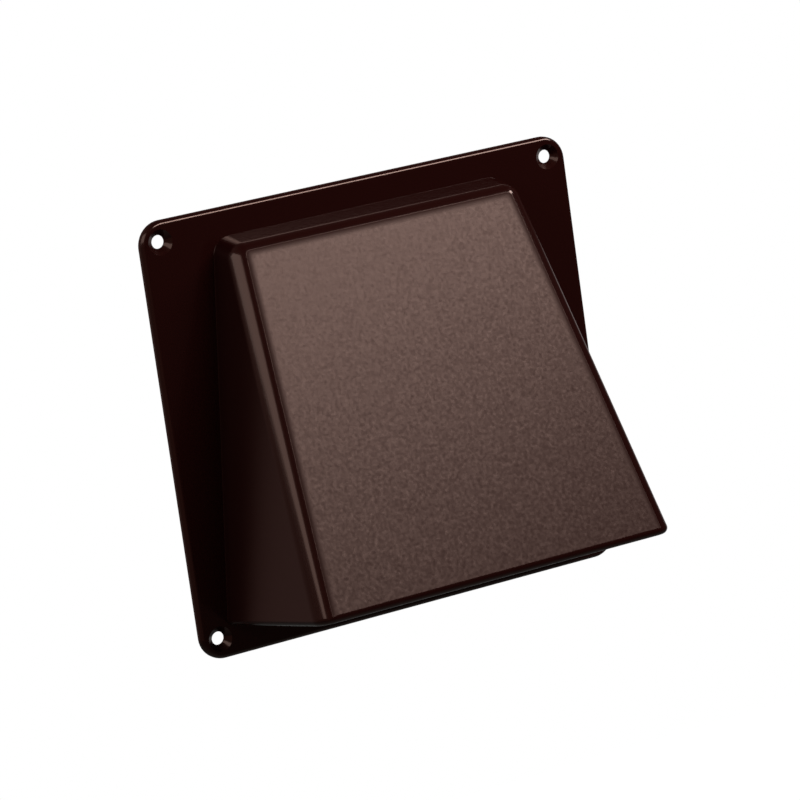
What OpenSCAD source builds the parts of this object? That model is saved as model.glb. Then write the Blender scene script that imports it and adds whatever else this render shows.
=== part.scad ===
// Wall vent hood: a screw-on flange and a hollow weather hood, moulded in one piece.
// The hood is open at the back, where the duct ends, and at its mouth, which faces down.
// Millimetres. +Z is up, the wall is the plane Y = 0 and the hood stands out towards -Y.

/* [Flange] */
// Width of the flange
flange_w = 184.5; // [150:0.5:260]
// Height of the flange
flange_h = 170; // [140:0.5:240]
// Thickness of the flange
flange_t = 3; // [2.5:0.1:5]
// Radius of the flange's corners, seen from the front
corner_r = 9.5; // [6:0.5:20]
// Rounding of the flange's front edge
flange_edge_r = 1.9; // [0.5:0.1:4]

/* [Screw holes] */
// Distance of each hole from the two nearest edges
hole_inset = 8; // [7:0.5:14]
// Diameter of the hole
hole_d = 5.2; // [3:0.1:6]
// Diameter of the countersink at the front face
sink_d = 9.8; // [6.5:0.1:12]
// Full angle of the countersink
sink_angle = 90; // [80:1:120]

/* [Hood] */
// Depth of the hood at its lip, from the wall
lip_depth = 76.2; // [50:0.1:110]
// Depth of the hood at its brow, where the front face meets the top wall
brow_depth = 17.6; // [12:0.1:30]
// Strip of flange above the hood
top_margin = 11; // [6:0.5:30]
// Strip of flange below the mouth
mouth_margin = 12; // [6:0.5:30]
// Strip of flange beside the hood, at its mouth
side_margin = 11.8; // [8:0.1:30]
// Lean of each side wall, which makes the hood wider at its mouth
flare = 6.9; // [0:0.1:12]
// Rise of the mouth, from the flange to the lip
mouth_rise = 8.5; // [2:0.5:15]

/* [Moulding] */
// Wall thickness of the hood
wall = 2.5; // [1.8:0.1:3.5]
// Outer radius of the hood's long edges
hood_edge_r = 7; // [4:0.1:9]
// Outer radius of the edge round the mouth
mouth_edge_r = 2.2; // [0.6:0.1:3]
// Radius of the fillet round the hood's foot
foot_r = 0.3; // [0.2:0.1:3]
// Draft of the side walls
side_draft = 2; // [0.5:0.5:5]
// Draft of the top wall
top_draft = 8; // [2:0.5:12]

/* [Hidden] */
round_fn = 48;
past = 20;                                    // how far the hood's forms run past the wall
land = 0.3;                                   // narrowest flat that a rounding leaves
rim_r = min(flange_edge_r, flange_t - land);
lip_r = min(mouth_edge_r, wall - land);
top_y = flange_h/2 - top_margin;
mouth_y = mouth_margin - flange_h/2;
plastic = [0.20, 0.13, 0.11];

// The part is drawn lying on its back: x to the right, y up the wall, z out of the wall.
// Outer half width of the hood at a height y and a distance z from the wall
function side_x(y, z) =
    flange_w/2 - side_margin - (y - mouth_y)*tan(flare) - (z - flange_t)*tan(side_draft);
// Height of the top wall's outer face at a distance z
function top_line(z) = top_y - (z - flange_t)*tan(top_draft);
// Height of the mouth's plane at a distance z
function mouth_line(z) = mouth_y + (z - flange_t)*tan(mouth_rise);

// The centre of the lip's rounding as [y, z], and the lean of the face that runs from it to the brow
lip_z = lip_depth - lip_r;
lip_y = mouth_line(lip_z) + lip_r/cos(mouth_rise);
face_run = [top_line(brow_depth) - lip_y, lip_z - brow_depth];
face_tilt = atan2(face_run[1], face_run[0]) + asin(lip_r/norm(face_run));
// Distance of the front face from the wall at a height y
function face_line(y) = brow_depth + (top_line(brow_depth) - y)*tan(face_tilt);

// Where the top wall and the front face meet, both moved inwards by d
function brow(d) =
    let(top_0 = top_line(0) - d/cos(top_draft),
        face_0 = face_line(0) - d/cos(face_tilt),
        y = (top_0 - face_0*tan(top_draft)) / (1 - tan(face_tilt)*tan(top_draft)))
    [y, face_0 - y*tan(face_tilt)];

// The corner of the hood at p = [y, z] on the right (side = 1) or left (side = -1), moved inwards by d
function corner(p, side, d) =
    [side*(side_x(p[0], p[1]) - d*norm([1, tan(flare), tan(side_draft)])), p[0], p[1]];

// A section of the flange's rim, w wide up to its outer edge
module rim_section(w) {
    square([w, flange_t - rim_r]);
    square([w - rim_r, flange_t]);
    intersection() {
        translate([w - rim_r, flange_t - rim_r]) circle(rim_r, $fn = round_fn);
        square([w, flange_t]);
    }
}

// A straight length of the rim, its outer edge dist away from the middle
module rim_side(length, dist)
    translate([0, dist - corner_r, 0])
        rotate([90, 0, 90])
            linear_extrude(length, center = true) rim_section(corner_r);

module flange() {
    inner_w = flange_w - 2*corner_r;
    inner_h = flange_h - 2*corner_r;
    translate([-inner_w/2, -inner_h/2, 0]) cube([inner_w, inner_h, flange_t]);
    for (turn = [0, 180]) {
        rotate(turn) rim_side(inner_w, flange_h/2);
        rotate(turn + 90) rim_side(inner_h, flange_w/2);
    }
    for (sx = [-1, 1], sy = [-1, 1])
        translate([sx*inner_w/2, sy*inner_h/2, 0])
            rotate_extrude($fn = round_fn) rim_section(corner_r);
}

// A ball of radius r in each upper corner of the hood, its centre d inside the outer faces
module top_corners(d, r)
    for (side = [-1, 1], p = [[top_line(-past) - d/cos(top_draft), -past], brow(d)])
        translate(corner(p, side, d)) sphere(r, $fn = round_fn);

// The outside of the hood as one rounded block, which starts behind the wall.
// A ring in each front corner of the mouth takes the lip's rounding round the long edge.
module hood_outside() {
    ring_r = hood_edge_r - lip_r;
    foot = [mouth_line(-past) + lip_r/cos(mouth_rise), -past];
    lip = [lip_y - ring_r*sin(mouth_rise), lip_z - ring_r*cos(mouth_rise)];
    hull() {
        top_corners(hood_edge_r, hood_edge_r);
        for (side = [-1, 1]) {
            translate(corner(foot, side, lip_r)) sphere(lip_r, $fn = round_fn);
            translate(corner(lip, side, lip_r) - [side*ring_r, 0, 0])
                rotate([90 - mouth_rise, 0, 0])
                    rotate_extrude($fn = round_fn)
                        intersection() {
                            translate([ring_r, 0]) circle(lip_r, $fn = round_fn);
                            translate([0, -lip_r]) square([hood_edge_r, 2*lip_r]);
                        }
        }
    }
}

// The outline of the hood where it meets the flange, z above it and grown outwards by d
module foot_slice(z, d)
    for (side = [-1, 1]) {
        above = flange_t + z;
        top = [top_line(above) - hood_edge_r/cos(top_draft), above];
        low = [mouth_line(above) + lip_r/cos(mouth_rise), above];
        translate(corner(top, side, hood_edge_r)) cylinder(h = 0.01, r = hood_edge_r + d, $fn = round_fn);
        translate(corner(low, side, lip_r)) cylinder(h = 0.01, r = lip_r + d, $fn = round_fn);
    }

// The fillet between the hood and the flange, in steps that follow its hollow curve
module foot_fillet() {
    steps = 2;
    function z(i) = foot_r*(1 - cos(90*i/steps));
    function d(i) = foot_r*(1 - sin(90*i/steps));
    for (i = [0:steps - 1])
        hull() {
            foot_slice(i == 0 ? -1 : z(i), d(i));
            foot_slice(z(i + 1), d(i + 1) - 0.02);
        }
}

// The space inside the hood. It runs out through the mouth, and above the sill through the flange.
module hood_inside() {
    low_y = mouth_y - past;
    low_z = face_line(low_y) - hood_edge_r/cos(face_tilt);
    difference() {
        hull() {
            top_corners(hood_edge_r, hood_edge_r - wall);
            for (side = [-1, 1], p = [[low_y, low_z], [low_y, -past]])
                translate(corner(p, side, hood_edge_r)) sphere(hood_edge_r - wall, $fn = round_fn);
        }
        translate([-flange_w, mouth_y - flange_h, -2*past])
            cube([2*flange_w, flange_h, 2*past + flange_t]);
    }
}

module screw_holes() {
    sink_h = (sink_d - hole_d)/2 / tan(sink_angle/2);
    for (sx = [-1, 1], sy = [-1, 1])
        translate([sx*(flange_w/2 - hole_inset), sy*(flange_h/2 - hole_inset), 0]) {
            translate([0, 0, -1]) cylinder(h = flange_t + 2, d = hole_d, $fn = round_fn);
            translate([0, 0, flange_t - sink_h])
                cylinder(h = 2*sink_h, d1 = hole_d, d2 = 2*sink_d - hole_d, $fn = round_fn);
        }
}

module vent_hood()
    color(plastic)
        rotate([90, 0, 0])
            difference() {
                union() {
                    flange();
                    intersection() {
                        hood_outside();
                        translate([-flange_w/2, -flange_h/2, 0]) cube([flange_w, flange_h, 2*lip_depth]);
                    }
                    foot_fillet();
                }
                hood_inside();
                screw_holes();
            }

vent_hood();
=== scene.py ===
import math

import bpy
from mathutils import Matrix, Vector

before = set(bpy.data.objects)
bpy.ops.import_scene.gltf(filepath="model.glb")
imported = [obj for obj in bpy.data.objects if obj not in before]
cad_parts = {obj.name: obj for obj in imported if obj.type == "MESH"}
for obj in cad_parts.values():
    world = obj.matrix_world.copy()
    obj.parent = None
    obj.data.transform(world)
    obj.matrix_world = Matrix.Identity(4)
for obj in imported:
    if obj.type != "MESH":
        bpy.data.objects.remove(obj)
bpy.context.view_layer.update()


# Hood and flange: one injection moulding in dark brown ABS, a hollow weather hood over the duct's
# end with a flange round it, which four countersunk screws hold to the wall.
# The hood's many small facets are joined into smooth roundings, and its flat walls stay flat.
SAME_POINT = 1e-6
CREASE = math.radians(20)  # walls that meet at more than this have a crisp line between them

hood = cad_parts["vent_hood"]
hood.data.shade_smooth()
hood.modifiers.new("joined facets", "WELD").merge_threshold = SAME_POINT
hood.modifiers.new("crisp junctions", "EDGE_SPLIT").split_angle = CREASE
hood.modifiers.new("flat walls", "WEIGHTED_NORMAL").weight = 100


def linear(hex_colour):
    """An sRGB hex colour as linear RGBA."""
    parts = [int(hex_colour[i : i + 2], 16) / 255 for i in (1, 3, 5)]
    return [c / 12.92 if c <= 0.04045 else ((c + 0.055) / 1.055) ** 2.4 for c in parts] + [1]


def empty_nodes(owner):
    """Gives a material or a world an empty node tree."""
    owner.use_nodes = True
    owner.node_tree.nodes.clear()
    return owner.node_tree


def add(tree, kind, inputs=None, **settings):
    """Adds a node with its settings. An input is given a value, or the output that it is linked to."""
    made = tree.nodes.new(kind)
    for name, value in settings.items():
        setattr(made, name, value)
    for name, value in (inputs or {}).items():
        if isinstance(value, bpy.types.NodeSocket):
            tree.links.new(value, made.inputs[name])
        else:
            made.inputs[name].default_value = value
    return made


# Moulded ABS, nearly black, as glossy as each wall of its mould: polished on the flange and on the
# roundings, satin on the sides of the hood, and spark-eroded on the panel of its front face. There
# it has a soft grey sheen and a fine grain, which starts coarser and duller at the panel's edge.
BROWN = "#1e0605"
SHINE = "#ffd4c4"
POLISHED, SATIN, ERODED = 0.155, 0.35, 0.44  # roughness
LIP = (0, -0.07601, -0.05927)  # middle of the lip, where the face begins
FACE_TILT = math.radians(24)
PANEL_TOP = 0.1414  # height of the panel up the face
PANEL_HALF = 0.0713  # half its width at the lip
PANEL_TAPER = 0.0965  # loss of half width for each length up the face
PANEL_CORNER = 0.003
PANEL_EDGE = 0.0004  # width over which the erosion sets in
COARSE_EDGE = 0.003  # width over which it gets finer
GRAIN_MM = 1.3  # eroded grain is about 0.2 mm wide, and is drawn as coarse as it needs to show
GRAIN_LEAN = 0.16  # how far the grains lean away from the face

plastic = bpy.data.materials.new("moulded brown ABS")
tree = empty_nodes(plastic)
place = add(tree, "ShaderNodeTexCoord").outputs["Object"]

# x runs across the face, y up it and z out of it
on_face = {"Vector": place, "Location": LIP, "Rotation": (math.radians(90) - FACE_TILT, 0, 0)}
on_face = add(tree, "ShaderNodeMapping", on_face, vector_type="TEXTURE").outputs["Vector"]
across, up, out = add(tree, "ShaderNodeSeparateXYZ", {"Vector": on_face}).outputs

# How far a point is inside the panel's outline, which has rounded upper corners
across = add(tree, "ShaderNodeMath", {0: across}, operation="ABSOLUTE").outputs[0]
side = {0: up, 1: -PANEL_TAPER, 2: PANEL_HALF}
side = add(tree, "ShaderNodeMath", side, operation="MULTIPLY_ADD").outputs[0]
side = add(tree, "ShaderNodeMath", {0: side, 1: across}, operation="SUBTRACT").outputs[0]
top = add(tree, "ShaderNodeMath", {0: PANEL_TOP, 1: up}, operation="SUBTRACT").outputs[0]
inside = {0: side, 1: top, 2: PANEL_CORNER}
inside = add(tree, "ShaderNodeMath", inside, operation="SMOOTH_MIN").outputs[0]

# The erosion ends at the lip, and the wall's inner face stays polished
above_lip = add(tree, "ShaderNodeMath", {0: inside, 1: up}, operation="MINIMUM").outputs[0]
eroded = {"Value": above_lip, "From Max": PANEL_EDGE}
eroded = add(tree, "ShaderNodeMapRange", eroded, interpolation_type="SMOOTHSTEP").outputs[0]
outer = {"Value": out, "From Min": -0.002, "From Max": -0.001}
outer = add(tree, "ShaderNodeMapRange", outer).outputs[0]
eroded = add(tree, "ShaderNodeMath", {0: eroded, 1: outer}, operation="MULTIPLY").outputs[0]

straight = add(tree, "ShaderNodeNewGeometry").outputs["Normal"]
sideways = add(tree, "ShaderNodeSeparateXYZ", {"Vector": straight}).outputs["X"]
sideways = add(tree, "ShaderNodeMath", {0: sideways}, operation="ABSOLUTE").outputs[0]
smooth = {"Value": sideways, "From Min": 0.7, "From Max": 0.97, "To Min": POLISHED, "To Max": SATIN}
smooth = add(tree, "ShaderNodeMapRange", smooth).outputs[0]
fine = {"Value": inside, "From Min": 0.0002, "From Max": COARSE_EDGE, "To Min": 1.0, "To Max": 1 / ERODED}
fine = add(tree, "ShaderNodeMapRange", fine).outputs[0]
dull = add(tree, "ShaderNodeMath", {0: 1.0, 1: fine}, operation="DIVIDE").outputs[0]
rough = add(tree, "ShaderNodeMapRange", {"Value": eroded, "To Min": smooth, "To Max": dull}).outputs[0]

grains = {"Vector": place, "Scale": 1000 / GRAIN_MM, "Detail": 0.5, "Roughness": 0.5}
grains = add(tree, "ShaderNodeTexNoise", grains).outputs["Color"]
lean = {0: grains, 1: (0.5, 0.5, 0.5)}
lean = add(tree, "ShaderNodeVectorMath", lean, operation="SUBTRACT").outputs[0]
amount = add(tree, "ShaderNodeMath", {0: eroded, 1: GRAIN_LEAN}, operation="MULTIPLY").outputs[0]
lean = add(tree, "ShaderNodeVectorMath", {0: lean, "Scale": amount}, operation="SCALE").outputs[0]
facing = add(tree, "ShaderNodeVectorMath", {0: straight, 1: lean}, operation="ADD").outputs[0]
facing = add(tree, "ShaderNodeVectorMath", {0: facing}, operation="NORMALIZE").outputs[0]

shader = {
    "Base Color": linear(BROWN),
    "Roughness": rough,
    "IOR": 1.5,
    "Specular Tint": linear(SHINE),
    "Normal": facing,
}
shader = add(tree, "ShaderNodeBsdfPrincipled", shader).outputs["BSDF"]
add(tree, "ShaderNodeOutputMaterial", {"Surface": shader})
hood.data.materials[0] = plastic


# Floor: a plain pale matt floor well below the hood, which hangs as it does on a wall.
# It is white to the camera, and dim in the plastic's reflections, as in a dark studio.
WHITE = "#ffffff"
PALE = "#cfcfcd"
FLOOR_Z = -1.2
FLOOR_MIRRORED = 0.015  # how bright the plastic's reflections show it, where 1 is white

bpy.ops.mesh.primitive_plane_add(size=6, location=(0, 0, FLOOR_Z))
floor = bpy.context.object
floor.name = "floor"
pale = bpy.data.materials.new("pale matt floor")
tree = empty_nodes(pale)
ray = add(tree, "ShaderNodeLightPath").outputs
seen = {0: ray["Is Camera Ray"], 1: ray["Is Transmission Ray"]}
seen = add(tree, "ShaderNodeMath", seen, operation="MAXIMUM").outputs[0]
glow = {0: ray["Is Glossy Ray"], 1: FLOOR_MIRRORED, 2: seen}
glow = add(tree, "ShaderNodeMath", glow, operation="MULTIPLY_ADD").outputs[0]
glow = add(tree, "ShaderNodeEmission", {"Color": linear(WHITE), "Strength": glow}).outputs[0]
matt = add(tree, "ShaderNodeBsdfDiffuse", {"Color": linear(PALE)}).outputs[0]
both = add(tree, "ShaderNodeAddShader", {0: matt, 1: glow}).outputs[0]
add(tree, "ShaderNodeOutputMaterial", {"Surface": both})
floor.data.materials.append(pale)


# Studio: a white background to the camera and through glass. The room itself is dim and warm, and
# a little lighter to the left and behind the wall, which is what the polished plastic mirrors.
WARM = "#ffcec4"
ROOM_LIGHT = 0.05
ROOM_MIRRORED = 0.055
LEFT_MIRRORED = 0.18
BEHIND_MIRRORED = 0.07  # on top of the others

world = bpy.data.worlds.new("studio")
bpy.context.scene.world = world
tree = empty_nodes(world)
ray = add(tree, "ShaderNodeLightPath").outputs
seen = {0: ray["Is Camera Ray"], 1: ray["Is Transmission Ray"]}
seen = add(tree, "ShaderNodeMath", seen, operation="MAXIMUM").outputs[0]
way = add(tree, "ShaderNodeTexCoord").outputs["Generated"]
rightward, wallward, _ = add(tree, "ShaderNodeSeparateXYZ", {"Vector": way}).outputs
left = {"Value": rightward, "From Max": -0.5, "To Min": ROOM_MIRRORED, "To Max": LEFT_MIRRORED}
left = add(tree, "ShaderNodeMapRange", left).outputs[0]
behind = {"Value": wallward, "From Min": 0.2, "From Max": 0.9, "To Max": BEHIND_MIRRORED}
behind = add(tree, "ShaderNodeMapRange", behind).outputs[0]
mirrored = add(tree, "ShaderNodeMath", {0: left, 1: behind}, operation="ADD").outputs[0]
room = {"Value": ray["Is Glossy Ray"], "To Min": ROOM_LIGHT, "To Max": mirrored}
room = add(tree, "ShaderNodeMapRange", room).outputs[0]
strength = add(tree, "ShaderNodeMath", {0: room, 1: seen}, operation="MAXIMUM").outputs[0]
# 0, 6 and 7 are the mix's amount and its two colours, and 2 is the mixed colour
colour = {0: ray["Is Glossy Ray"], 6: linear(WHITE), 7: linear(WARM)}
colour = add(tree, "ShaderNodeMix", colour, data_type="RGBA").outputs[2]
sky = add(tree, "ShaderNodeBackground", {"Color": colour, "Strength": strength}).outputs[0]
add(tree, "ShaderNodeOutputWorld", {"Surface": sky})


def softbox(name, place, aim, width, height, radiance):
    """A rectangular lamp that faces aim and looks as bright as radiance, where 1 is white."""
    lamp = bpy.data.lights.new(name, "AREA")
    lamp.shape = "RECTANGLE"
    lamp.size, lamp.size_y = width, height
    lamp.energy = radiance * math.pi * width * height
    made = bpy.data.objects.new(name, lamp)
    made.location = place
    made.rotation_euler = (Vector(aim) - Vector(place)).to_track_quat("-Z", "Y").to_euler()
    made.visible_camera = False
    bpy.context.scene.collection.objects.link(made)


# Lamps: a long softbox above the camera's right lights the face from the top down, and one on the
# left draws the light band down the hood's rounded edge. A faint one far behind, on the right,
# shows in the flat back.
softbox("long softbox", (0.344, -0.430, 0.502), (0, -0.05, 0), 0.84, 0.17, 13.4)
softbox("left softbox", (-0.57, -0.17, 0.40), (0, -0.05, 0.38), 0.75, 0.38, 1.65)
softbox("back softbox", (0.9, 1.0, -0.35), (0, 0, 0), 1.2, 0.8, 0.25)


# Camera: to the left of the hood's front and a little above it, with a long lens.
sight = bpy.data.cameras.new("camera")
sight.lens, sight.sensor_width = 189.8, 36
sight.clip_start, sight.clip_end = 0.1, 50
camera = bpy.data.objects.new("camera", sight)
camera.location = (-0.71674, -1.42200, 0.32364)
camera.rotation_euler = [math.radians(a) for a in (78.2839, 7.8682, -28.6046)]
bpy.context.scene.collection.objects.link(camera)
bpy.context.scene.camera = camera
bpy.context.scene.view_settings.view_transform = "Standard"
